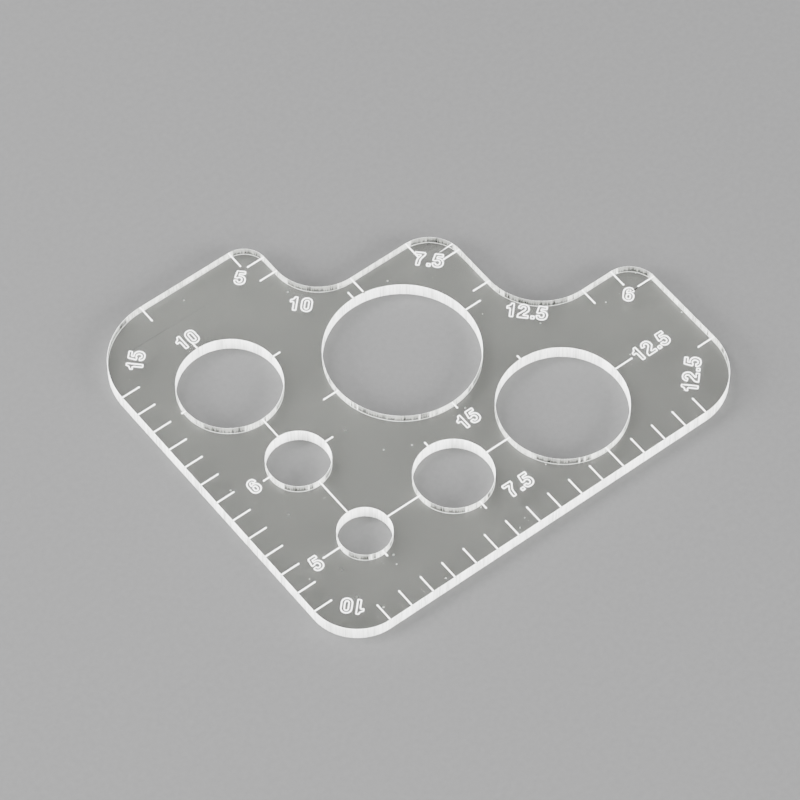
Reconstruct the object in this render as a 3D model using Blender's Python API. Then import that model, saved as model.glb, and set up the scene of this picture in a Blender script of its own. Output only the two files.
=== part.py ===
"""A circle template: one clear acrylic plate with a stepped outline, six drawing circles and scored marks.

The plate lies on the XY plane with its marked face up. The long scale runs along +X and the short one
along +Y. Plan positions below are measured from the square corner where the two scale edges would meet.
"""

import math

import bmesh
import bpy
from mathutils import Vector

MM = 0.001

# Plate
PLATE_THICKNESS = 3.0 * MM
LONG_SCALE_LENGTH = 75.0 * MM  # straight part of the edge along X
SHORT_SCALE_LENGTH = 60.0 * MM  # straight part of the edge along Y
FIRST_TAB_WIDTH = 41.0 * MM  # from the short scale's edge to the first step's side
SECOND_TAB_WIDTH = 30.9 * MM  # from the first step's side to the second's
FIRST_STEP_DROP = 19.1 * MM  # from the top edge down to the first step
SECOND_STEP_DROP = 29.4 * MM  # from the first step down to the second

# Corner radii, each of them also a drawing radius
SQUARE_CORNER_RADIUS = 10.0 * MM
RIGHT_CORNER_RADIUS = 12.5 * MM
LAST_TAB_RADIUS = 6.0 * MM
LOWER_NOTCH_RADIUS = 12.5 * MM
MIDDLE_TAB_RADIUS = 7.5 * MM
UPPER_NOTCH_RADIUS = 10.0 * MM
FIRST_TAB_RADIUS = 5.0 * MM
TOP_CORNER_RADIUS = 15.0 * MM

# Drawing circles: a pencil's half width is added to each labelled radius
PENCIL_ALLOWANCE = 0.2 * MM
HOLE_RADII = {
    "r5": 5.0 * MM,
    "r6": 6.0 * MM,
    "r7_5": 7.5 * MM,
    "r10": 10.0 * MM,
    "r12_5": 12.5 * MM,
    "r15": 15.0 * MM,
}
HOLE_COLUMN_X = 18.0 * MM  # the column of r5, r6 and r10
HOLE_ROW_Y = 18.2 * MM  # the row of r5, r7_5 and r12_5
R6_CENTRE_Y = 38.6 * MM
R10_CENTRE_Y = 60.2 * MM
R7_5_CENTRE_X = 38.9 * MM
R15_CENTRE = (48.6 * MM, 46.4 * MM)
MARK_UNDER_R12_5 = 11  # the long scale's mark that this hole stands over, counted from 0

# Scored marks
LONG_SCALE_DIVISIONS = 15
SHORT_SCALE_DIVISIONS = 12
MARK_LENGTH = 4.0 * MM
MARK_WIDTH = 0.3 * MM
MARK_DEPTH = 0.16 * MM
MARK_CLEARANCE = 0.03 * MM  # between a mark and its groove, at the sides and below
GROOVE_OVERRUN = 0.5 * MM  # how far a groove's cutter passes an edge or the top face

# Length of each centre mark outside its hole's rim, by the side of the hole that it is on
RIM_MARK_LENGTHS = {
    "r5": {"west": 4.4 * MM, "south": 1.6 * MM},
    "r6": {"east": 1.8 * MM, "west": 1.9 * MM},
    "r7_5": {"north": 1.1 * MM, "south": 2.0 * MM},
    "r10": {"north": 1.8 * MM, "east": 1.6 * MM},
    "r12_5": {"north": 1.0 * MM, "east": 4.1 * MM},
    "r15": {"north": 1.7 * MM, "east": 3.6 * MM, "south": 1.7 * MM, "west": 3.5 * MM},
}
R10_WEST_GROOVE_LENGTH = 1.1 * MM  # the smallest mark is a bare groove
SIDES = {"north": (0, 1), "east": (1, 0), "south": (0, -1), "west": (-1, 0)}

ARC_STEP = math.radians(5)
MARK_END_STEP = math.radians(30)

# Worked out from the values above
PLATE_LENGTH = SQUARE_CORNER_RADIUS + LONG_SCALE_LENGTH + RIGHT_CORNER_RADIUS
PLATE_WIDTH = SQUARE_CORNER_RADIUS + SHORT_SCALE_LENGTH + TOP_CORNER_RADIUS
SECOND_TAB_X = FIRST_TAB_WIDTH + SECOND_TAB_WIDTH
FIRST_STEP_Y = PLATE_WIDTH - FIRST_STEP_DROP
SECOND_STEP_Y = FIRST_STEP_Y - SECOND_STEP_DROP
LONG_SCALE_STEP = LONG_SCALE_LENGTH / LONG_SCALE_DIVISIONS
SHORT_SCALE_STEP = SHORT_SCALE_LENGTH / SHORT_SCALE_DIVISIONS
R12_5_CENTRE_X = SQUARE_CORNER_RADIUS + MARK_UNDER_R12_5 * LONG_SCALE_STEP

HOLE_CENTRES = {
    "r5": (HOLE_COLUMN_X, HOLE_ROW_Y),
    "r6": (HOLE_COLUMN_X, R6_CENTRE_Y),
    "r7_5": (R7_5_CENTRE_X, HOLE_ROW_Y),
    "r10": (HOLE_COLUMN_X, R10_CENTRE_Y),
    "r12_5": (R12_5_CENTRE_X, HOLE_ROW_Y),
    "r15": R15_CENTRE,
}

# Outline corners, anticlockwise: name, x, y, radius
CORNERS = (
    ("square_corner", 0, 0, SQUARE_CORNER_RADIUS),
    ("right_corner", PLATE_LENGTH, 0, RIGHT_CORNER_RADIUS),
    ("last_tab", PLATE_LENGTH, SECOND_STEP_Y, LAST_TAB_RADIUS),
    ("lower_notch", SECOND_TAB_X, SECOND_STEP_Y, LOWER_NOTCH_RADIUS),
    ("middle_tab", SECOND_TAB_X, FIRST_STEP_Y, MIDDLE_TAB_RADIUS),
    ("upper_notch", FIRST_TAB_WIDTH, FIRST_STEP_Y, UPPER_NOTCH_RADIUS),
    ("first_tab", FIRST_TAB_WIDTH, PLATE_WIDTH, FIRST_TAB_RADIUS),
    ("top_corner", 0, PLATE_WIDTH, TOP_CORNER_RADIUS),
)


def make_collection(name, hidden=False):
    collection = bpy.data.collections.new(name)
    collection.hide_render = hidden
    bpy.context.scene.collection.children.link(collection)
    return collection


def make_material(name, colour, roughness, transmission):
    material = bpy.data.materials.new(name)
    material.use_nodes = True
    shader = material.node_tree.nodes["Principled BSDF"]
    shader.inputs["Base Color"].default_value = colour
    shader.inputs["Roughness"].default_value = roughness
    shader.inputs["Metallic"].default_value = 0.0
    shader.inputs["Transmission Weight"].default_value = transmission
    shader.inputs["IOR"].default_value = 1.49
    return material


def arc(centre, radius, start, sweep, step=ARC_STEP):
    """Points from the start angle through the sweep, with both ends."""
    steps = round(abs(sweep) / step)
    angles = [start + sweep * i / steps for i in range(steps + 1)]
    return [centre + radius * Vector((math.cos(a), math.sin(a))) for a in angles]


def circle(centre, radius):
    return arc(Vector(centre), radius, 0, math.tau)[:-1]


def corner_tangents(index):
    """Where the arc of a corner meets the edge before it and the edge after it."""
    radius = CORNERS[index][3]
    here, before, after = (
        Vector(CORNERS[(index + offset) % len(CORNERS)][1:3]) for offset in (0, -1, 1)
    )
    return [here + radius * (towards - here).normalized() for towards in (before, after)]


def corner_arc(index):
    """The rounded stretch of one square corner, inner or outer."""
    here = Vector(CORNERS[index][1:3])
    start, end = corner_tangents(index)
    centre = start + end - here
    angles = [math.atan2(*reversed(point - centre)) for point in (start, end)]
    sweep = (angles[1] - angles[0] + math.pi) % math.tau - math.pi
    return arc(centre, CORNERS[index][3], angles[0], sweep)


def plate_outline():
    return [point for index in range(len(CORNERS)) for point in corner_arc(index)]


def slab(name, loops, low, high, collection):
    """A flat piece between two heights, filled inside its outer loops and open inside its inner ones."""
    curve = bpy.data.curves.new(name + "_outline", "CURVE")
    curve.dimensions = "2D"
    curve.fill_mode = "BOTH"
    curve.extrude = (high - low) / 2
    for loop in loops:
        spline = curve.splines.new("POLY")
        spline.points.add(len(loop) - 1)
        spline.use_cyclic_u = True
        for point, place in zip(spline.points, loop):
            point.co = (*place, 0, 1)
    outline = bpy.data.objects.new(name + "_outline", curve)
    outline.location.z = (low + high) / 2
    collection.objects.link(outline)
    bpy.context.view_layer.update()
    evaluated = outline.evaluated_get(bpy.context.evaluated_depsgraph_get())
    mesh = bpy.data.meshes.new_from_object(evaluated)
    mesh.name = name
    weld(mesh)
    piece = bpy.data.objects.new(name, mesh)
    piece.matrix_world = outline.matrix_world
    collection.objects.link(piece)
    bpy.data.objects.remove(outline)
    return piece


def weld(mesh):
    """Joins the fill of a curve's caps to its sides."""
    cage = bmesh.new()
    cage.from_mesh(mesh)
    bmesh.ops.remove_doubles(cage, verts=cage.verts, dist=0.001 * MM)
    bmesh.ops.recalc_face_normals(cage, faces=cage.faces)
    cage.to_mesh(mesh)
    cage.free()


def line_outline(start, end, width, open_ends):
    """The outline of a scored line: square where it runs out over an edge, round where it stops."""
    along = (end - start).normalized()
    heading = math.atan2(along.y, along.x)
    across = Vector((-along.y, along.x)) * width / 2
    points = []
    for place, turn, is_open in ((start, math.pi, open_ends[0]), (end, 0, open_ends[1])):
        side = -across if turn == 0 else across
        if is_open:
            points += [place + side, place - side]
        else:
            points += arc(place, width / 2, heading + turn - math.pi / 2, math.pi, MARK_END_STEP)
    return points


def edge_mark(start, inward, length=MARK_LENGTH):
    """A mark that starts on an edge: its two ends, and which of them is open."""
    start = Vector(start)
    return start, start + Vector(inward) * length, (True, False)


def scale_marks():
    marks = {}
    for i in range(LONG_SCALE_DIVISIONS + 1):
        x = SQUARE_CORNER_RADIUS + i * LONG_SCALE_STEP
        marks[f"long_scale_mark_{i + 1:02d}"] = edge_mark((x, 0), SIDES["north"])
    for i in range(SHORT_SCALE_DIVISIONS + 1):
        y = SQUARE_CORNER_RADIUS + i * SHORT_SCALE_STEP
        marks[f"short_scale_mark_{i + 1:02d}"] = edge_mark((0, y), SIDES["east"])
    # The r12_5 hole stands over one mark of the long scale, and a single line joins them.
    start = Vector((R12_5_CENTRE_X, 0))
    marks[f"long_scale_mark_{MARK_UNDER_R12_5 + 1:02d}"] = (start, rim_point("r12_5", "south"), (True, True))
    return marks


def corner_marks():
    """A mark at each end of each corner's arc, but for the ends that a scale already marks."""
    marks = {}
    for index, (name, x, y, _) in enumerate(CORNERS):
        for end, tangent in zip(("start", "end"), corner_tangents(index)):
            if min(tangent) > 0:
                edge = (tangent - Vector((x, y))).normalized()
                inward = Vector((-edge.y, edge.x)) if end == "end" else Vector((edge.y, -edge.x))
                marks[f"{name}_arc_{end}_mark"] = edge_mark(tangent, inward)
    return marks


def rim_point(hole, side):
    return Vector(HOLE_CENTRES[hole]) + Vector(SIDES[side]) * (HOLE_RADII[hole] + PENCIL_ALLOWANCE)


def hole_marks():
    marks = {}
    for hole, lengths in RIM_MARK_LENGTHS.items():
        for side, length in lengths.items():
            marks[f"{hole}_{side}_mark"] = edge_mark(rim_point(hole, side), SIDES[side], length)
    return marks


def centre_lines():
    """The lines that join neighbouring holes, from rim to rim."""
    joined = (
        ("r5", "north", "r6", "south"),
        ("r6", "north", "r10", "south"),
        ("r5", "east", "r7_5", "west"),
        ("r7_5", "east", "r12_5", "west"),
    )
    return {
        f"{first}_to_{second}_centre_line": (
            rim_point(first, first_side),
            rim_point(second, second_side),
            (True, True),
        )
        for first, first_side, second, second_side in joined
    }


def groove_outline(start, end, open_ends):
    """The outline of the groove that holds a mark: clear of it, and past any edge it runs out over."""
    along = (end - start).normalized()
    start = start - along * (GROOVE_OVERRUN if open_ends[0] else 0)
    end = end + along * (GROOVE_OVERRUN if open_ends[1] else 0)
    return line_outline(start, end, MARK_WIDTH + 2 * MARK_CLEARANCE, open_ends)


def build_plate(marks, parts, cutters, material):
    holes = [circle(HOLE_CENTRES[name], HOLE_RADII[name] + PENCIL_ALLOWANCE) for name in HOLE_RADII]
    plate = slab("template_plate", [plate_outline(), *holes], 0, PLATE_THICKNESS, parts)
    plate.data.materials.append(material)

    bare = edge_mark(rim_point("r10", "west"), SIDES["west"], R10_WEST_GROOVE_LENGTH)
    grooves = slab(
        "mark_grooves",
        [groove_outline(*mark) for mark in (*marks.values(), bare)],
        PLATE_THICKNESS - MARK_DEPTH - MARK_CLEARANCE,
        PLATE_THICKNESS + GROOVE_OVERRUN,
        cutters,
    )
    grooves.hide_render = True
    grooves.display_type = "WIRE"
    cut = plate.modifiers.new("scored grooves", "BOOLEAN")
    cut.operation = "DIFFERENCE"
    cut.solver = "EXACT"
    cut.object = grooves
    return plate, grooves


def build_mark(name, mark, parts, material):
    """One mark, made along +X from its own origin, then placed and turned."""
    start, end, open_ends = mark
    run = end - start
    outline = line_outline(Vector((0, 0)), Vector((run.length, 0)), MARK_WIDTH, open_ends)
    piece = slab(name, [outline], PLATE_THICKNESS - MARK_DEPTH, PLATE_THICKNESS, parts)
    piece.location.x, piece.location.y = start
    piece.rotation_euler.z = math.atan2(run.y, run.x)
    piece.data.materials.append(material)
    return piece


def main():
    for thing in list(bpy.data.objects):
        bpy.data.objects.remove(thing)
    parts = make_collection("circle_template")
    cutters = make_collection("circle_template_cutters", hidden=True)
    clear_acrylic = make_material("clear_acrylic", (0.86, 0.88, 0.86, 1), 0.05, 1.0)
    scored_acrylic = make_material("scored_acrylic", (0.93, 0.93, 0.91, 1), 0.7, 0.0)

    marks = {**scale_marks(), **corner_marks(), **hole_marks(), **centre_lines()}
    pieces = list(build_plate(marks, parts, cutters, clear_acrylic))
    pieces += [build_mark(name, mark, parts, scored_acrylic) for name, mark in marks.items()]

    # The origin is the middle of the plate's outline, on the face that it rests on.
    centre = bpy.data.objects.new("template_origin", None)
    parts.objects.link(centre)
    centre.location = (-PLATE_LENGTH / 2, -PLATE_WIDTH / 2, 0)
    for piece in pieces:
        piece.parent = centre


main()
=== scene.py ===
import math

import bmesh
import bpy
from mathutils import Matrix, Vector, noise


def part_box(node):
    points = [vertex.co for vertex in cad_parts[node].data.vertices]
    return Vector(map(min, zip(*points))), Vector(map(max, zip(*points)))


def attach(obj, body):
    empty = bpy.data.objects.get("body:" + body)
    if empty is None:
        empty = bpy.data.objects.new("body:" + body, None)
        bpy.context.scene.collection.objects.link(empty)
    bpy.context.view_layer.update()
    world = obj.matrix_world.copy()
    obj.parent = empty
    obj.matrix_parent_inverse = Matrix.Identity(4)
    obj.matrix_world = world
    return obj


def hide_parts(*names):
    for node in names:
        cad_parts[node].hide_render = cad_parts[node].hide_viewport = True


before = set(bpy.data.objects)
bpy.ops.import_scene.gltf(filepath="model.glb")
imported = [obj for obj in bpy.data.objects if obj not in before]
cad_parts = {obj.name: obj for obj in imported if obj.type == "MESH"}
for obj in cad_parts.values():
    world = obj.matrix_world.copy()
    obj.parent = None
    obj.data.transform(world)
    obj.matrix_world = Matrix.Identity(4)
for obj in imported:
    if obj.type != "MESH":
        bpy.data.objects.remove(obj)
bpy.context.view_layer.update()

MM = 0.001

# ---- Cut edges ----
CUT_PITCH = 0.35 * MM  # spacing of the laser's striations along a cut edge
STRIATION_DEPTH = 0.007 * MM
EDGE_ROUNDING = 0.09 * MM
ROUNDING_STEPS = 2
WELD = 0.0005 * MM
SHARP_ANGLE = math.radians(40)
FLAT_FACE_NORMAL = 0.99  # a face whose normal is steeper than this belongs to the top or the underside
RIM_NORMAL = 0.2  # ... and one steeper than this to the rounded rim
# A cut edge counts as straight where its normal lies this near X or Y, give or take a ragged patch;
# straight cuts take the copy with painted light inside, the others the copy with painted shade inside
STRAIGHT_CUT_NORMAL = 0.965
STRAIGHT_CUT_RAGGEDNESS = 0.05
HOLE_CUT_NORMAL = 0.93
HOLE_CUT_RAGGEDNESS = 0.12
CUT_PATCH = 0.6 * MM
HOLE_MARGIN = 0.2 * MM
CLEAR_FACE, STRAIGHT_CUT, CURVED_CUT, CUT_RIM = range(4)  # the plate's material slots

# ---- Scored lines ----
SCORE_CLEARANCE = 0.03 * MM  # between a scored line's fill and the groove that holds it
SCORE_SINK = 0.006 * MM  # how far the fill lies under the plate's face
GROOVE_RISE = 0.4 * MM  # how far a groove's cutter stands above the face
GROOVE_OVERRUN = 0.5 * MM  # how far it runs out over a cut edge
EDGE_REACH = 0.4 * MM  # a line's end nearer than this to a cut edge runs out over it
LINE_STEP = 0.25 * MM
LINE_WANDER = 0.05  # share by which a line's width wanders
TIP_STATIONS = (0.04, 0.2, 0.45, 0.75, 1.0, 1.6, 2.3, 3.2)  # in half widths from a stopped end
TIP_SWELL = 0.16  # the beam dwells where a line stops
TIP_SWELL_PLACE = 1.5
RIM_INSET = 0.6 * EDGE_ROUNDING  # a line that runs out ends this far short of the cut edge
PROFILE_STEPS = 6
FILL_CROWN = 0.06  # height of a fill's crown as a share of its half width
R10_WEST_TICK = 1.1 * MM
R10_WEST_TICK_SEED = 99

# ---- Unevenness: how fast it changes along a line, from line to line, and its layer of the noise ----
CUT_WAVES = (0.83, 7.31, 0.5)
LINE_WAVES = (0.9, 3.7, 0.2)
DIGIT_WAVES = (0.7, 1.9, 0.4)

# ---- Numbers ----
NUMBER_LINE = 0.26 * MM  # width
NUMBER_SCALE = 1.02
NUMBER_MID_HEIGHT = 1.5
DIGIT_ADVANCE = 2.35
POINT_ADVANCE = 1.15
LEAST_TURN = 0.1  # radius of a digit's sharpest turn
TURN_STEP = math.radians(20)
# Each digit is one or two closed outlines of (x, y, corner radius) in millimetres
DIGITS = {
    "0": [
        [(0.12, -0.03, 0.93), (2.06, -0.03, 0.93), (2.06, 3.05, 0.93), (0.12, 3.05, 0.93)],
        [(0.72, 0.52, 0.36), (1.46, 0.52, 0.36), (1.46, 2.5, 0.36), (0.72, 2.5, 0.36)],
    ],
    "1": [
        [
            (0.95, 0, 0), (1.55, 0, 0), (1.55, 3.05, 0), (1.1, 3.05, 0),
            (0.88, 2.55, 0.35), (0.3, 2.28, 0), (0.3, 1.76, 0), (0.95, 2.14, 0.3),
        ]
    ],
    "2": [
        [
            (0.08, 0, 0), (2.05, 0, 0), (2.05, 0.56, 0), (0.98, 0.56, 0), (2.1, 1.62, 0.5),
            (2.02, 3.05, 0.9), (0.16, 3.05, 0.85), (0.12, 2.12, 0), (0.7, 2.06, 0),
            (0.72, 2.54, 0.28), (1.42, 2.56, 0.36), (1.46, 1.86, 0.4), (0.16, 0.7, 0.4),
        ]
    ],
    "5": [
        [
            (0.42, 3.0, 0), (1.92, 3.0, 0), (1.92, 2.42, 0), (0.92, 2.42, 0), (0.84, 1.96, 0),
            (2.1, 2.12, 0.95), (2.1, -0.05, 0.95), (0.14, -0.05, 0.8), (0.08, 0.8, 0), (0.64, 0.86, 0),
            (0.74, 0.48, 0.3), (1.48, 0.46, 0.45), (1.48, 1.5, 0.45), (0.8, 1.56, 0.3),
            (0.62, 1.38, 0), (0.13, 1.45, 0),
        ]
    ],
    "6": [
        [
            (1.98, 2.24, 0), (1.42, 2.17, 0), (1.36, 2.58, 0.25), (0.74, 2.58, 0.5), (0.7, 1.62, 0.08),
            (1.02, 1.97, 0.3), (2.08, 1.97, 0.85), (2.08, -0.02, 0.95), (0.1, -0.02, 0.95),
            (0.1, 3.05, 1.05), (1.94, 3.05, 0.75),
        ],
        [(0.72, 0.46, 0.36), (1.46, 0.46, 0.36), (1.46, 1.5, 0.36), (0.72, 1.5, 0.36)],
    ],
    "7": [
        [
            (0.15, 3.0, 0), (2.05, 3.0, 0), (2.05, 2.52, 0), (1.24, 1.4, 1.5), (1.12, 0, 0),
            (0.52, 0, 0), (0.62, 1.4, 1.5), (1.34, 2.44, 0), (0.15, 2.44, 0),
        ]
    ],
    ".": [[(0.26, 0, 0), (0.86, 0, 0), (0.86, 0.58, 0), (0.26, 0.58, 0)]],
}

# ---- Finishes ----
ACRYLIC_TINT = (0.74, 0.745, 0.72)
SMUDGED_TINT = (0.71, 0.715, 0.69)
FACE_SHADOW_TINT = (0.54, 0.545, 0.53)  # lamp light that one face lets through
EDGE_SHADOW_TINT = (0.35, 0.353, 0.345)
ACRYLIC_IOR = 1.49
POLISHED_ROUGHNESS = 0.02
SMUDGE_ROUGHNESS = 0.04
SCRATCH_ROUGHNESS = 0.18
DUST_ROUGHNESS = 0.5
FROST_WHITE = (0.95, 0.955, 0.94)
FROST_BRIGHT = (0.98, 0.985, 0.97)
FROST_DULL = (0.86, 0.865, 0.85)
CUT_DULL = (0.66, 0.67, 0.65)
# Painted shade and painted light on each cut as seen from inside the plate: the painted shade's tint, the
# painted light's tint, and the height of the painted shade's ragged foot
STRAIGHT_CUT_INSIDE_PAINTED_SHADE_AND_LIGHT = ((0.34, 0.345, 0.33), (0.97, 0.975, 0.96), 0.12)
CURVED_CUT_INSIDE_PAINTED_SHADE_AND_LIGHT = ((0.02, 0.021, 0.02), (0.36, 0.365, 0.35), 0.4)
CUT_RIM_INSIDE_PAINTED_SHADE_AND_LIGHT = ((0.4, 0.405, 0.395), (0.75, 0.755, 0.74), -1.0)
CUT_STREAKS = 2900.0  # per metre, as are the bands, grains and hairs
CUT_BANDS = 480.0
STREAK_STRETCH = (1.0, 1.0, 0.04)
BAND_STRETCH = (1.0, 1.0, 0.15)
STREAK_SHARE = 0.6
FOOT_RAGGEDNESS = 2.2
FOOT_FADE = 0.1
CUT_GRAINS = 6000.0
SCORE_GRAINS = 7000.0
FLOOR_GRAINS = 900.0
FINE_GRAIN_RATIO = 3.7
SMUDGE_SCALE = 55.0
HAIR_STRETCHES = ((60.0, 4200.0, 1.0), (3600.0, 45.0, 1.0))
HAIR_THRESHOLDS = (0.72, 0.73)
HAIR_FADE = 0.06
HAIR_PATCHES = 140.0
DUST_SCALE = 320.0
DUST_PATCHES = 210.0
# Roughness on the smooth and on the rough spots of a finish, and the strength and depth of its relief
CUT_ROUGHNESS = (0.2, 0.45)
SCORE_ROUGHNESS = (0.6, 0.9)
FLOOR_ROUGHNESS = 0.85
CUT_RELIEF = (0.5, 0.03 * MM)
SCORE_RELIEF = (0.4, 0.01 * MM)
FLOOR_RELIEF = (0.15, 0.02 * MM)
FLOOR_GREY = (0.085, 0.085, 0.085)
FLOOR_DARK = (0.081, 0.081, 0.0815)
FLOOR_LIGHT = (0.089, 0.089, 0.0895)
MIX_COLOUR_INPUTS = (6, 7)  # the Mix node's two colours, which share their names with its plain values
MIX_COLOUR_OUTPUT = 2

# ---- Studio ----
ROOM_LIGHT = 0.6
CARD_DISTANCE = 1.2
CARD_SIZE = 0.6
CARD_GLOW = (0.35, 1.3)  # at its dim end and at its bright end
CARD_LEAN = 0.35  # how much the fade leans from the card's Y towards its X
CARD_FADE = 0.14  # half the run of the fade
# Name, place, size and power in watts
SOFTBOXES = (
    ("overhead_softbox", (-0.5, 0.9, 1.2), (0.8, 0.8), 72.0),
    ("left_softbox", (-1.1, 0.55, 0.45), (0.7, 0.5), 82.0),
    ("right_softbox", (0.55, -1.1, 0.45), (0.7, 0.5), 82.0),
    ("front_softbox", (-0.75, -0.85, 0.5), (0.6, 0.4), 22.0),
)

# ---- Camera ----
VIEW_AZIMUTH = math.radians(-37.74)
VIEW_ELEVATION = math.radians(55.42)
VIEW_DISTANCE = 0.8704
VIEW_TARGET = Vector((-0.0076, -0.0050))  # from the middle of the plate's top face
LENS = 207.8
CLIP_NEAR = 0.01
CLIP_FAR = 50

FLOOR_GAP = 0.02 * MM  # the film of air under the plate
FLOOR_SIZE = 3.0


# ======== Where things are, from the CAD's own marks ========


def middle(node):
    low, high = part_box(node)
    return (low + high) / 2


def tangent(node, side):
    """Where a corner mark leaves the cut edge, on the named side of its own box."""
    low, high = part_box(node)
    centre = (low + high) / 2
    return {
        "west": Vector((low.x, centre.y)),
        "east": Vector((high.x, centre.y)),
        "south": Vector((centre.x, low.y)),
        "north": Vector((centre.x, high.y)),
    }[side]


def round_hole(upright_mark, level_mark):
    """Centre and radius of a circle, from a mark above or below it and a mark beside it."""
    centre = Vector((middle(upright_mark).x, middle(level_mark).y))
    low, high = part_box(level_mark)
    return centre, min(abs(low.x - centre.x), abs(high.x - centre.x))


HOLES = {
    "r5": round_hole("r5_south_mark", "r5_west_mark"),
    "r6": round_hole("r5_to_r6_centre_line", "r6_east_mark"),
    "r7_5": round_hole("r7_5_north_mark", "r5_to_r7_5_centre_line"),
    "r10": round_hole("r10_north_mark", "r10_east_mark"),
    "r12_5": round_hole("r12_5_north_mark", "r12_5_east_mark"),
    "r15": round_hole("r15_north_mark", "r15_east_mark"),
}

# Corners anticlockwise: the mark and its side where the corner's arc starts, then where it ends
CORNERS = {
    "square_corner": (("short_scale_mark_01", "west"), ("long_scale_mark_01", "south")),
    "right_corner": (("long_scale_mark_16", "south"), ("right_corner_arc_end_mark", "east")),
    "last_tab": (("last_tab_arc_start_mark", "east"), ("last_tab_arc_end_mark", "north")),
    "lower_notch": (("lower_notch_arc_start_mark", "north"), ("lower_notch_arc_end_mark", "east")),
    "middle_tab": (("middle_tab_arc_start_mark", "east"), ("middle_tab_arc_end_mark", "north")),
    "upper_notch": (("upper_notch_arc_start_mark", "north"), ("upper_notch_arc_end_mark", "east")),
    "first_tab": (("first_tab_arc_start_mark", "east"), ("first_tab_arc_end_mark", "north")),
    "top_corner": (("top_corner_arc_start_mark", "north"), ("short_scale_mark_13", "west")),
}


def arc_points(centre, radius, first, turn):
    steps = max(2, round(abs(turn) * radius / CUT_PITCH))
    angles = [first + turn * i / steps for i in range(steps + 1)]
    return [centre + radius * Vector((math.cos(a), math.sin(a))) for a in angles]


def turn_between(centre, start, end):
    """The angle of start seen from centre, and the shorter turn from there to end."""
    first, last = (math.atan2(*reversed(point - centre)) for point in (start, end))
    return first, (last - first + math.pi) % math.tau - math.pi


def corner_ends(name):
    """A corner's arc: its centre, level with one end and in line with the other, and its two ends."""
    (first, first_side), (second, second_side) = CORNERS[name]
    start, end = tangent(first, first_side), tangent(second, second_side)
    centre = Vector((end.x, start.y)) if first_side in ("west", "east") else Vector((start.x, end.y))
    return centre, start, end


def corner_arc(name):
    centre, start, end = corner_ends(name)
    return arc_points(centre, (start - centre).length, *turn_between(centre, start, end))


def spaced_run(start, end):
    """Points between two ends at the pitch of the cut, without the ends themselves."""
    steps = max(1, round((end - start).length / CUT_PITCH))
    return [start.lerp(end, i / steps) for i in range(1, steps)]


def plate_outline():
    points = []
    names = list(CORNERS)
    for name, following in zip(names, names[1:] + names[:1]):
        turn = corner_arc(name)
        points += turn + spaced_run(turn[-1], corner_arc(following)[0])
    return points


def hole_outline(centre, radius):
    return arc_points(centre, radius, 0, math.tau)[:-1]


# ======== Meshes ========


def new_piece(name, mesh, materials):
    mesh.name = name
    mesh.materials.clear()
    for material in materials:
        mesh.materials.append(material)
    piece = bpy.data.objects.new(name, mesh)
    bpy.context.scene.collection.objects.link(piece)
    return piece


def evaluated_mesh(thing):
    """The mesh that a curve or a modified object makes, welded and facing outwards."""
    bpy.context.view_layer.update()
    graph = bpy.context.evaluated_depsgraph_get()
    mesh = bpy.data.meshes.new_from_object(thing.evaluated_get(graph), depsgraph=graph)
    mesh.transform(thing.matrix_world)
    cage = bmesh.new()
    cage.from_mesh(mesh)
    bmesh.ops.remove_doubles(cage, verts=cage.verts, dist=WELD)
    bmesh.ops.recalc_face_normals(cage, faces=cage.faces)
    cage.to_mesh(mesh)
    cage.free()
    return mesh


def drop_slivers(mesh):
    """Removes the slivers that a cut leaves."""
    cage = bmesh.new()
    cage.from_mesh(mesh)
    bmesh.ops.dissolve_degenerate(cage, edges=cage.edges, dist=WELD)
    cage.to_mesh(mesh)
    cage.free()


def flat_curve(name, loops):
    """A filled flat curve; every loop after the first cuts a hole in it."""
    curve = bpy.data.curves.new(name, "CURVE")
    curve.dimensions = "2D"
    curve.fill_mode = "BOTH"
    for loop in loops:
        spline = curve.splines.new("POLY")
        spline.points.add(len(loop) - 1)
        spline.use_cyclic_u = True
        for point, place in zip(spline.points, loop):
            point.co = (*place, 0, 1)
    outline = bpy.data.objects.new(name, curve)
    bpy.context.scene.collection.objects.link(outline)
    return outline


def unevenness(position, seed, waves):
    """A smooth random value, mostly between -1 and 1."""
    pace, step, layer = waves
    return 2 * noise.noise(Vector((position * pace, seed * step, layer)))


def striated(loop, seed):
    """The cut edge as the laser leaves it: each point a few micrometres in or out."""
    made = []
    for i, place in enumerate(loop):
        along = (loop[(i + 1) % len(loop)] - loop[i - 1]).normalized()
        push = unevenness(i, seed, CUT_WAVES) * STRIATION_DEPTH
        made.append(place + Vector((along.y, -along.x)) * push)
    return made


def cut_sheet(loops, low, high):
    """A plate between two heights with its cut edges slightly rounded."""
    outline = flat_curve("sheet_outline", loops)
    curve = outline.data
    curve.bevel_depth = EDGE_ROUNDING
    curve.bevel_resolution = ROUNDING_STEPS
    curve.offset = -EDGE_ROUNDING
    curve.extrude = (high - low) / 2 - EDGE_ROUNDING
    outline.location.z = (low + high) / 2
    mesh = evaluated_mesh(outline)
    bpy.data.objects.remove(outline)
    return mesh


def score_profile(name, half_width, depth, rise):
    """A scored line's cross-section: a rounded trough, closed by a low crown or well above the face."""
    angles = [math.pi * i / PROFILE_STEPS for i in range(PROFILE_STEPS + 1)]
    trough = [(half_width * math.cos(angle), -depth * math.sin(angle)) for angle in angles]
    top = [(-half_width, rise), (half_width, rise)] if rise > 0 else [(0, half_width * FILL_CROWN)]
    return flat_curve(name, [trough + top])


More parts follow.
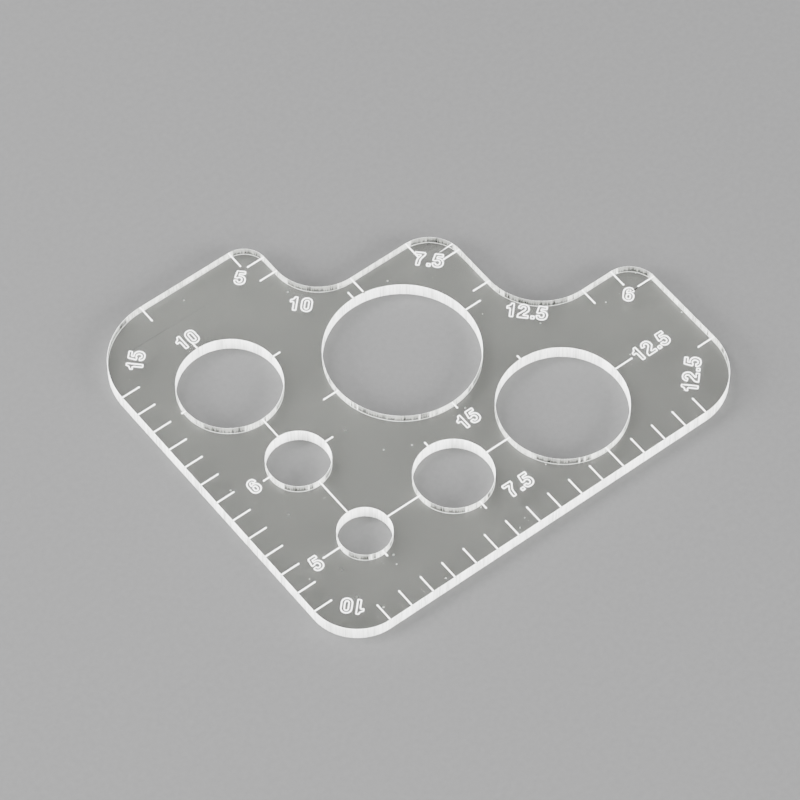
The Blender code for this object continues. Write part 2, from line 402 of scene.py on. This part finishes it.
def sweep(name, paths, profile, height):
    """One mesh of the profile carried along paths; a path is (points, width factors, closed)."""
    curve = bpy.data.curves.new(name, "CURVE")
    curve.dimensions = "3D"
    curve.twist_mode = "Z_UP"
    curve.bevel_mode = "OBJECT"
    curve.bevel_object = profile
    curve.use_fill_caps = True
    for points, widths, closed in paths:
        spline = curve.splines.new("POLY")
        spline.points.add(len(points) - 1)
        spline.use_cyclic_u = closed
        for point, place, width in zip(spline.points, points, widths):
            point.co = (*place, 0, 1)
            point.radius = width
    carrier = bpy.data.objects.new(name, curve)
    carrier.location.z = height
    bpy.context.scene.collection.objects.link(carrier)
    mesh = evaluated_mesh(carrier)
    bpy.data.objects.remove(carrier)
    return mesh


# ======== Scored lines ========


def line_ends(node):
    """The two ends of a mark along its own length, and its half width."""
    low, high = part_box(node)
    centre = (low + high) / 2
    if high.x - low.x > high.y - low.y:
        return Vector((low.x, centre.y)), Vector((high.x, centre.y)), (high.y - low.y) / 2
    return Vector((centre.x, low.y)), Vector((centre.x, high.y)), (high.x - low.x) / 2


def runs_out(place, loops):
    return any((point - place).length < EDGE_REACH for loop in loops for point in loop)


def tip_width(distance):
    """Width factor near a stopped end, at a distance from it in half widths."""
    rounding = math.sqrt(1 - (1 - min(distance, 1)) ** 2)
    return rounding * (1 + TIP_SWELL * math.exp(-((distance - TIP_SWELL_PLACE) ** 2)))


def line_path(start, end, half_width, stopped, wander, seed):
    """Points and width factors of a straight scored line, swelling and rounding off at each stopped end."""
    length = (end - start).length
    count = max(2, round(length / LINE_STEP))
    stations = {i / count * length: 1.0 for i in range(count + 1)}
    for is_stopped, from_end in zip(stopped, (False, True)):
        if is_stopped:
            near = TIP_STATIONS[-1] * half_width
            stations = {
                run: width for run, width in stations.items() if (length - run if from_end else run) > near
            }
            for station in TIP_STATIONS:
                run = station * half_width
                stations[length - run if from_end else run] = tip_width(station)
    along = (end - start).normalized()
    runs = sorted(stations)
    points = [start + along * run for run in runs]
    widths = [stations[run] * (1 + wander * unevenness(run / LINE_STEP, seed, LINE_WAVES)) for run in runs]
    return points, widths, False


# ======== Numbers ========


def rounded_ring(corners, size):
    """A closed outline with each corner turned on its radius."""
    ring = []
    for i, (x, y, radius) in enumerate(corners):
        radius = max(radius, LEAST_TURN)
        here = Vector((x, y))
        before = (Vector(corners[i - 1][:2]) - here).normalized()
        after = (Vector(corners[(i + 1) % len(corners)][:2]) - here).normalized()
        half = math.acos(max(-1.0, min(1.0, before.dot(after)))) / 2
        start = here + before * radius / math.tan(half)
        end = here + after * radius / math.tan(half)
        centre = here + (before + after).normalized() * radius / math.sin(half)
        first, turn = turn_between(centre, start, end)
        steps = max(2, round(abs(turn) / TURN_STEP))
        angles = [first + turn * j / steps for j in range(steps + 1)]
        ring += [(centre + radius * Vector((math.cos(angle), math.sin(angle)))) * size for angle in angles]
    return ring


def number_paths(text, centre, turn, seed):
    """The closed paths of a number's outlined digits, turned about its own middle."""
    advances = [POINT_ADVANCE if character == "." else DIGIT_ADVANCE for character in text]
    pen = -sum(advances) / 2
    rotation = Matrix.Rotation(turn, 2)
    paths = []
    for character, advance in zip(text, advances):
        for corners in DIGITS[character]:
            placed = [(x + pen, y - NUMBER_MID_HEIGHT, radius) for x, y, radius in corners]
            ring = [centre + rotation @ point for point in rounded_ring(placed, MM * NUMBER_SCALE)]
            widths = [1 + LINE_WANDER * unevenness(i, seed, DIGIT_WAVES) for i in range(len(ring))]
            paths.append((ring, widths, True))
        pen += advance
    return paths


DIAGONAL = math.radians(45)
# Piece name, number, the corner or circle it belongs to, its middle from there in millimetres, its turn
NUMBERS = (
    ("number_15_at_top_corner", "15", "top_corner", (-7.9, 5.4), DIAGONAL),
    ("number_5_at_first_tab", "5", "first_tab", (-1.6, -1.2), -DIAGONAL),
    ("number_10_at_upper_notch", "10", "upper_notch", (-11.2, -9.2), -DIAGONAL),
    ("number_7_5_at_middle_tab", "7.5", "middle_tab", (1.3, 1.6), -DIAGONAL),
    ("number_12_5_at_lower_notch", "12.5", "lower_notch", (-11.5, -10.1), -DIAGONAL),
    ("number_6_at_last_tab", "6", "last_tab", (-0.6, -0.4), -DIAGONAL),
    ("number_12_5_at_right_corner", "12.5", "right_corner", (3.4, -4.0), DIAGONAL),
    ("number_10_at_square_corner", "10", "square_corner", (-3.7, -3.4), 3 * DIAGONAL),
    ("number_10_at_circle", "10", "r10", (-0.3, 13.1), 0),
    ("number_15_at_circle", "15", "r15", (0.1, -20.1), 0),
    ("number_12_5_at_circle", "12.5", "r12_5", (21.5, 0), 0),
    ("number_6_at_circle", "6", "r6", (-10.2, 0.1), 0),
    ("number_5_at_circle", "5", "r5", (-11.3, -0.1), 0),
    ("number_7_5_at_circle", "7.5", "r7_5", (8.1, -9.3), 0),
)


def number_middle(owner, offset):
    centre = HOLES[owner][0] if owner in HOLES else corner_ends(owner)[0]
    return centre + Vector(offset) * MM


# ======== Shared effects ========


def new_group(name, inputs, outputs):
    """A shader node group whose sockets are (name, type, default)."""
    group = bpy.data.node_groups.new(name, "ShaderNodeTree")
    for socket, kind, value in inputs:
        made = group.interface.new_socket(name=socket, in_out="INPUT", socket_type=kind)
        if value is not None:
            made.default_value = value
    for socket, kind in outputs:
        group.interface.new_socket(name=socket, in_out="OUTPUT", socket_type=kind)
    entry = group.nodes.new("NodeGroupInput")
    leave = group.nodes.new("NodeGroupOutput")
    return group, entry, leave


def set_socket(tree, socket, value):
    """Links a node's input to another socket, or sets its plain value."""
    if isinstance(value, bpy.types.NodeSocket):
        tree.links.new(value, socket)
    else:
        socket.default_value = value


def feed(tree, node, **values):
    for name, value in values.items():
        set_socket(tree, node.inputs[name.replace("_", " ")], value)


def add_math(tree, operation, *values):
    node = tree.nodes.new("ShaderNodeMath")
    node.operation = operation
    for socket, value in zip(node.inputs, values):
        set_socket(tree, socket, value)
    return node.outputs[0]


def add_scaled(tree, base, mask, share):
    """A base value plus a share of a mask."""
    return add_math(tree, "ADD", base, add_math(tree, "MULTIPLY", mask, share))


def add_noise(tree, vector, scale, detail=3.0, roughness=0.55, distortion=0.0):
    node = tree.nodes.new("ShaderNodeTexNoise")
    feed(tree, node, Vector=vector, Scale=scale, Detail=detail, Roughness=roughness, Distortion=distortion)
    return node.outputs["Fac"]


def add_range(tree, value, low, high, to_low=0.0, to_high=1.0):
    node = tree.nodes.new("ShaderNodeMapRange")
    feed(tree, node, Value=value, From_Min=low, From_Max=high, To_Min=to_low, To_Max=to_high)
    return node.outputs["Result"]


def add_stretch(tree, vector, x, y, z):
    node = tree.nodes.new("ShaderNodeMapping")
    node.inputs["Scale"].default_value = (x, y, z)
    tree.links.new(vector, node.inputs["Vector"])
    return node.outputs["Vector"]


def object_place(tree):
    return tree.nodes.new("ShaderNodeTexCoord").outputs["Object"]


def make_fine_grain():
    """Mottling and pits at a chosen size: for frosted lines, cut edges and the floor."""
    group, entry, leave = new_group(
        "fine_grain",
        [("Place", "NodeSocketVector", None), ("Grains per Metre", "NodeSocketFloat", 5000.0)],
        [("Mottle", "NodeSocketFloat"), ("Pits", "NodeSocketFloat")],
    )
    place = entry.outputs["Place"]
    broad_scale = entry.outputs["Grains per Metre"]
    fine_scale = add_math(group, "MULTIPLY", broad_scale, FINE_GRAIN_RATIO)
    broad = add_noise(group, place, broad_scale, detail=4.0, roughness=0.6)
    fine = add_noise(group, place, fine_scale, detail=2.0, roughness=0.5)
    feed(group, leave, Mottle=broad, Pits=add_range(group, fine, 0.35, 0.62))
    return group


def make_handling():
    """Smudges, hairline scratches and dust that a plate picks up in a drawer."""
    group, entry, leave = new_group(
        "handling_marks",
        [("Place", "NodeSocketVector", None), ("Wear", "NodeSocketFloat", 1.0)],
        [("Smudges", "NodeSocketFloat"), ("Scratches", "NodeSocketFloat"), ("Dust", "NodeSocketFloat")],
    )
    place = entry.outputs["Place"]
    smudge_noise = add_noise(group, place, SMUDGE_SCALE, detail=3.0, roughness=0.6, distortion=0.4)
    smudges = add_range(group, smudge_noise, 0.46, 0.72)

    hairs = []
    for stretch, least in zip(HAIR_STRETCHES, HAIR_THRESHOLDS):
        drawn = add_stretch(group, place, *stretch)
        hair = add_noise(group, drawn, 1.0, detail=1.0, roughness=0.4, distortion=0.1)
        hairs.append(add_range(group, hair, least, least + HAIR_FADE))
    patches = add_range(group, add_noise(group, place, HAIR_PATCHES, detail=1.0), 0.5, 0.62)
    scratches = add_math(group, "MULTIPLY", add_math(group, "MAXIMUM", *hairs), patches)

    specks = group.nodes.new("ShaderNodeTexVoronoi")
    feed(group, specks, Vector=place, Scale=DUST_SCALE)
    speck = add_range(group, specks.outputs["Distance"], 0.05, 0.09, 1.0, 0.0)
    settled = add_range(group, add_noise(group, place, DUST_PATCHES, detail=0.0), 0.6, 0.64)
    dust = add_math(group, "MULTIPLY", speck, settled)

    for name, mask in (("Smudges", smudges), ("Scratches", scratches), ("Dust", dust)):
        worn = add_math(group, "MULTIPLY", mask, entry.outputs["Wear"])
        group.links.new(worn, leave.inputs[name])
    return group


def use_group(tree, group, **values):
    node = tree.nodes.new("ShaderNodeGroup")
    node.node_tree = group
    feed(tree, node, **values)
    return node.outputs


FINE_GRAIN = make_fine_grain()
HANDLING = make_handling()


# ======== Materials ========


def new_material(name, colour, roughness):
    material = bpy.data.materials.new(name)
    material.use_nodes = True
    tree = material.node_tree
    shader = tree.nodes["Principled BSDF"]
    shader.inputs["Base Color"].default_value = (*colour, 1)
    shader.inputs["Roughness"].default_value = roughness
    shader.inputs["Metallic"].default_value = 0.0
    return material, tree, shader


def add_bump(tree, shader, height, strength, distance):
    bump = tree.nodes.new("ShaderNodeBump")
    bump.inputs["Strength"].default_value = strength
    bump.inputs["Distance"].default_value = distance
    tree.links.new(height, bump.inputs["Height"])
    tree.links.new(bump.outputs["Normal"], shader.inputs["Normal"])


def blend_tints(tree, factor, low, high):
    """A colour that turns from one tint to another with a mask; each tint is a colour or a socket."""
    mix = tree.nodes.new("ShaderNodeMix")
    mix.data_type = "RGBA"
    tree.links.new(factor, mix.inputs["Factor"])
    for index, tint in zip(MIX_COLOUR_INPUTS, (low, high)):
        set_socket(tree, mix.inputs[index], tint if isinstance(tint, bpy.types.NodeSocket) else (*tint, 1))
    return mix.outputs[MIX_COLOUR_OUTPUT]


def tint_between(tree, shader, factor, low, high):
    tree.links.new(blend_tints(tree, factor, low, high), shader.inputs["Base Color"])


def let_lamps_through(tree, shader, tint):
    """Light from the lamps passes straight through the acrylic, dimmed by a tint."""
    output = tree.nodes["Material Output"]
    mix = tree.nodes.new("ShaderNodeMixShader")
    path = tree.nodes.new("ShaderNodeLightPath")
    clear = tree.nodes.new("ShaderNodeBsdfTransparent")
    clear.inputs["Color"].default_value = (*tint, 1)
    tree.links.new(path.outputs["Is Shadow Ray"], mix.inputs["Fac"])
    tree.links.new(shader.outputs["BSDF"], mix.inputs[1])
    tree.links.new(clear.outputs["BSDF"], mix.inputs[2])
    tree.links.new(mix.outputs["Shader"], output.inputs["Surface"])


def clear_acrylic():
    material, tree, shader = new_material("clear_acrylic", ACRYLIC_TINT, POLISHED_ROUGHNESS)
    shader.inputs["Transmission Weight"].default_value = 1.0
    shader.inputs["IOR"].default_value = ACRYLIC_IOR
    wear = use_group(tree, HANDLING, Place=object_place(tree), Wear=1.0)
    smudged = add_scaled(tree, POLISHED_ROUGHNESS, wear["Smudges"], SMUDGE_ROUGHNESS)
    scratched = add_scaled(tree, smudged, wear["Scratches"], SCRATCH_ROUGHNESS)
    dusty = add_scaled(tree, scratched, wear["Dust"], DUST_ROUGHNESS)
    tree.links.new(dusty, shader.inputs["Roughness"])
    tint_between(tree, shader, wear["Smudges"], ACRYLIC_TINT, SMUDGED_TINT)
    let_lamps_through(tree, shader, FACE_SHADOW_TINT)
    return material


def laser_cut_edge(name, low, high, shade, light, foot):
    """White and striated from outside; from inside it is painted, turning from painted shade to painted
    light above a ragged foot of painted shade.
    """
    material, tree, shader = new_material(name, FROST_WHITE, 0.3)
    place = object_place(tree)
    streak_place = add_stretch(tree, place, *STREAK_STRETCH)
    band_place = add_stretch(tree, place, *BAND_STRETCH)
    streaks = add_noise(tree, streak_place, CUT_STREAKS, detail=3.0, roughness=0.65)
    bands = add_noise(tree, band_place, CUT_BANDS, detail=2.0, roughness=0.5)
    cut = add_scaled(tree, add_math(tree, "MULTIPLY", streaks, STREAK_SHARE), bands, 1 - STREAK_SHARE)
    striae = add_range(tree, cut, 0.4, 0.56)
    outside = blend_tints(tree, striae, CUT_DULL, FROST_BRIGHT)

    # Painted shade along the ragged foot of the inside and painted light above it, broken up by the streaks
    split = tree.nodes.new("ShaderNodeSeparateXYZ")
    tree.links.new(place, split.inputs["Vector"])
    height = add_range(tree, split.outputs["Z"], low, high)
    ragged = add_scaled(tree, height, add_math(tree, "SUBTRACT", streaks, 0.5), FOOT_RAGGEDNESS)
    lit = add_range(tree, ragged, foot - FOOT_FADE, foot + FOOT_FADE)
    streaked_painted_light = add_math(tree, "MULTIPLY", lit, add_range(tree, cut, 0.38, 0.6, 0.35, 1.0))
    inside = blend_tints(tree, streaked_painted_light, shade, light)

    # The side seen from within the plate shows the painted shade and light in place of the white
    facing = tree.nodes.new("ShaderNodeNewGeometry").outputs["Backfacing"]
    tree.links.new(blend_tints(tree, facing, outside, inside), shader.inputs["Base Color"])
    grain = use_group(tree, FINE_GRAIN, Place=place, Grains_per_Metre=CUT_GRAINS)
    rough = add_scaled(tree, add_range(tree, striae, 0.0, 1.0, *CUT_ROUGHNESS), grain["Mottle"], 0.08)
    tree.links.new(rough, shader.inputs["Roughness"])
    add_bump(tree, shader, streaks, *CUT_RELIEF)
    let_lamps_through(tree, shader, EDGE_SHADOW_TINT)
    return material


def frosted_score():
    material, tree, shader = new_material("frosted_score", FROST_WHITE, 0.75)
    grain = use_group(tree, FINE_GRAIN, Place=object_place(tree), Grains_per_Metre=SCORE_GRAINS)
    tint_between(tree, shader, add_range(tree, grain["Mottle"], 0.35, 0.65), FROST_DULL, FROST_BRIGHT)
    tree.links.new(add_range(tree, grain["Pits"], 0.0, 1.0, *SCORE_ROUGHNESS), shader.inputs["Roughness"])
    add_bump(tree, shader, grain["Pits"], *SCORE_RELIEF)
    return material


def pale_floor():
    material, tree, shader = new_material("pale_floor", FLOOR_GREY, FLOOR_ROUGHNESS)
    grain = use_group(tree, FINE_GRAIN, Place=object_place(tree), Grains_per_Metre=FLOOR_GRAINS)
    tint_between(tree, shader, add_range(tree, grain["Mottle"], 0.3, 0.7), FLOOR_DARK, FLOOR_LIGHT)
    add_bump(tree, shader, grain["Pits"], *FLOOR_RELIEF)
    return material


# ======== The template ========


def cut_finish(face):
    """The material slot for a face of the sheet; square-on cut edges take the copy with painted light
    inside, the others the copy with painted shade inside.
    """
    steepness = abs(face.normal.z)
    if steepness > FLAT_FACE_NORMAL:
        return CLEAR_FACE
    if steepness > RIM_NORMAL:
        return CUT_RIM
    place = face.center.xy
    in_a_hole = any((place - centre).length < radius + HOLE_MARGIN for centre, radius in HOLES.values())
    least = HOLE_CUT_NORMAL if in_a_hole else STRAIGHT_CUT_NORMAL
    raggedness = HOLE_CUT_RAGGEDNESS if in_a_hole else STRAIGHT_CUT_RAGGEDNESS
    squareness = max(abs(face.normal.x), abs(face.normal.y))
    patch = noise.noise(face.center / CUT_PATCH) * raggedness
    return STRAIGHT_CUT if squareness > least + patch else CURVED_CUT


def plate_finishes(low, high):
    """The plate's materials, in the order of its slots, for a sheet between two heights; the three cut
    finishes are copies that differ only in the painted shade and painted light they show from inside.
    """
    return [
        clear_acrylic(),
        laser_cut_edge("straight_cut_edge_painted_light", low, high, *STRAIGHT_CUT_INSIDE_PAINTED_SHADE_AND_LIGHT),
        laser_cut_edge("curved_cut_edge_painted_shade", low, high, *CURVED_CUT_INSIDE_PAINTED_SHADE_AND_LIGHT),
        laser_cut_edge("cut_rim", low, high, *CUT_RIM_INSIDE_PAINTED_SHADE_AND_LIGHT),
    ]


def cut_groove(plate, groove):
    """Takes a groove out of the plate's mesh."""
    cutter = new_piece("groove_cutter", groove, [plate.data.materials[CLEAR_FACE]])
    cut = plate.modifiers.new("groove", "BOOLEAN")
    cut.operation = "DIFFERENCE"
    cut.solver = "MANIFOLD"
    cut.object = cutter
    bpy.context.view_layer.update()
    graph = bpy.context.evaluated_depsgraph_get()
    mesh = bpy.data.meshes.new_from_object(plate.evaluated_get(graph))
    plate.modifiers.clear()
    plate.data = mesh
    bpy.data.objects.remove(cutter)


def build_plate(loops, grooves):
    """The clear plate with its rounded cut edges and its scored grooves."""
    low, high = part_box("template_plate")
    sheet = cut_sheet([striated(loop, i) for i, loop in enumerate(loops)], low.z, high.z)
    plate = new_piece("clear_plate", sheet, plate_finishes(low.z, high.z))
    for face in sheet.polygons:
        face.material_index = cut_finish(face)
    for groove in grooves:
        cut_groove(plate, groove)
    mesh = plate.data
    mesh.name = "clear_plate"
    drop_slivers(mesh)
    mesh.set_sharp_from_angle(angle=SHARP_ANGLE)
    for face in mesh.polygons:
        face.use_smooth = abs(face.normal.z) <= FLAT_FACE_NORMAL
    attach(plate, "root")
    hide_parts("template_plate")


def finish_score(name, mesh, material, replaced=None):
    mesh.shade_smooth()
    mesh.set_sharp_from_angle(angle=SHARP_ANGLE)
    piece = new_piece(name, mesh, [material])
    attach(piece, "root")
    if replaced:
        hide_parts(replaced)


def scored_lines(marks):
    """Each straight scored line: its piece's name, the mark that it replaces, its ends and its seed."""
    lines = []
    for seed, node in enumerate(marks):
        start, end, _ = line_ends(node)
        lines.append((f"scored_{node}", node, start, end, seed))
    centre, radius = HOLES["r10"]
    rim = centre - Vector((radius, 0))
    tip = rim - Vector((R10_WEST_TICK, 0))
    lines.append(("scored_r10_west_tick", None, tip, rim, R10_WEST_TICK_SEED))
    return lines


def build_template():
    loops = [plate_outline()] + [hole_outline(*hole) for hole in HOLES.values()]
    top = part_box("template_plate")[1].z
    marks = sorted(set(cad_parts) - {"template_plate"})
    low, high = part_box(marks[0])
    depth = high.z - low.z
    half_width = line_ends(marks[0])[2]
    frosted = frosted_score()

    trough_depth = depth + SCORE_CLEARANCE
    trough_half = half_width + SCORE_CLEARANCE
    number_half = NUMBER_LINE / 2
    fill = score_profile("score_fill_profile", half_width, depth, 0)
    trough = score_profile("score_trough_profile", trough_half, trough_depth, GROOVE_RISE)
    number_fill = score_profile("number_fill_profile", number_half, depth, 0)
    number_trough = score_profile(
        "number_trough_profile", number_half + SCORE_CLEARANCE, trough_depth, GROOVE_RISE
    )

    troughs = []
    for name, node, start, end, seed in scored_lines(marks):
        along = (end - start).normalized()
        stopped = [not runs_out(place, loops) for place in (start, end)]
        inset = [0 if stop else RIM_INSET for stop in stopped]
        first, last = start + along * inset[0], end - along * inset[1]
        path = line_path(first, last, half_width, stopped, LINE_WANDER, seed)
        finish_score(name, sweep(name, [path], fill, top - SCORE_SINK), frosted, node)
        reach = [SCORE_CLEARANCE if stop else GROOVE_OVERRUN for stop in stopped]
        first, last = start - along * reach[0], end + along * reach[1]
        troughs.append(line_path(first, last, half_width, stopped, 0, 0))

    number_troughs = []
    for seed, (name, text, owner, offset, turn) in enumerate(NUMBERS):
        paths = number_paths(text, number_middle(owner, offset), turn, seed)
        finish_score(name, sweep(name, paths, number_fill, top - SCORE_SINK), frosted)
        number_troughs += [(points, [1.0] * len(points), True) for points, _, _ in paths]

    grooves = [
        sweep("mark_troughs", troughs, trough, top),
        sweep("number_troughs", number_troughs, number_trough, top),
    ]
    build_plate(loops, grooves)
    for profile in (fill, trough, number_fill, number_trough):
        bpy.data.objects.remove(profile)


# ======== Studio ========


def square_sheet(name, size, material):
    cage = bmesh.new()
    bmesh.ops.create_grid(cage, x_segments=1, y_segments=1, size=size / 2)
    mesh = bpy.data.meshes.new(name)
    cage.to_mesh(mesh)
    cage.free()
    return new_piece(name, mesh, [material])


def build_floor():
    floor = square_sheet("floor", FLOOR_SIZE, pale_floor())
    floor.location.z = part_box("template_plate")[0].z - FLOOR_GAP


def add_softbox(name, place, size, power):
    lamp = bpy.data.lights.new(name, "AREA")
    lamp.shape = "RECTANGLE"
    lamp.size, lamp.size_y = size
    lamp.energy = power
    softbox = bpy.data.objects.new(name, lamp)
    softbox.location = place
    softbox.rotation_mode = "QUATERNION"
    softbox.rotation_quaternion = (-Vector(place)).to_track_quat("-Z", "Y")
    softbox.visible_glossy = False  # the polished face mirrors no hard-edged box
    bpy.context.scene.collection.objects.link(softbox)


def card_glow():
    """Light that fades from the card's bright far left side to its dim near right one."""
    material = bpy.data.materials.new("reflection_card")
    material.use_nodes = True
    tree = material.node_tree
    tree.nodes.remove(tree.nodes["Principled BSDF"])
    glow = tree.nodes.new("ShaderNodeEmission")
    split = tree.nodes.new("ShaderNodeSeparateXYZ")
    tree.links.new(object_place(tree), split.inputs["Vector"])
    run = add_scaled(tree, split.outputs["Y"], split.outputs["X"], CARD_LEAN)
    dim, bright = CARD_GLOW
    fade = add_range(tree, run, -CARD_FADE, CARD_FADE, bright, dim)
    tree.links.new(fade, glow.inputs["Strength"])
    tree.links.new(glow.outputs["Emission"], tree.nodes["Material Output"].inputs["Surface"])
    return material


def add_reflection_card():
    """A glowing card where the flat face mirrors it towards the camera."""
    back = view_back()
    towards = Vector((-back.x, -back.y, back.z))
    card = square_sheet("reflection_card", CARD_SIZE, card_glow())
    card.location = towards * CARD_DISTANCE
    card.rotation_mode = "QUATERNION"
    card.rotation_quaternion = (-towards).to_track_quat("Z", "Y")


def view_back():
    """From the template towards the camera."""
    return Vector((
        math.sin(VIEW_AZIMUTH) * math.cos(VIEW_ELEVATION),
        -math.cos(VIEW_AZIMUTH) * math.cos(VIEW_ELEVATION),
        math.sin(VIEW_ELEVATION),
    ))


def light_studio():
    world = bpy.data.worlds.new("studio")
    world.use_nodes = True
    background = world.node_tree.nodes["Background"]
    background.inputs["Color"].default_value = (1.0, 1.0, 1.0, 1)
    background.inputs["Strength"].default_value = ROOM_LIGHT
    bpy.context.scene.world = world
    add_reflection_card()
    for softbox in SOFTBOXES:
        add_softbox(*softbox)


def place_camera():
    low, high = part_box("template_plate")
    aim = ((low + high) / 2).xy + VIEW_TARGET
    target = Vector((*aim, high.z))
    back = view_back()
    data = bpy.data.cameras.new("camera")
    data.lens = LENS
    data.clip_start, data.clip_end = CLIP_NEAR, CLIP_FAR
    camera = bpy.data.objects.new("camera", data)
    camera.location = target + back * VIEW_DISTANCE
    camera.rotation_mode = "QUATERNION"
    camera.rotation_quaternion = (-back).to_track_quat("-Z", "Y")
    bpy.context.scene.collection.objects.link(camera)
    bpy.context.scene.camera = camera


build_template()
build_floor()
light_studio()
place_camera()
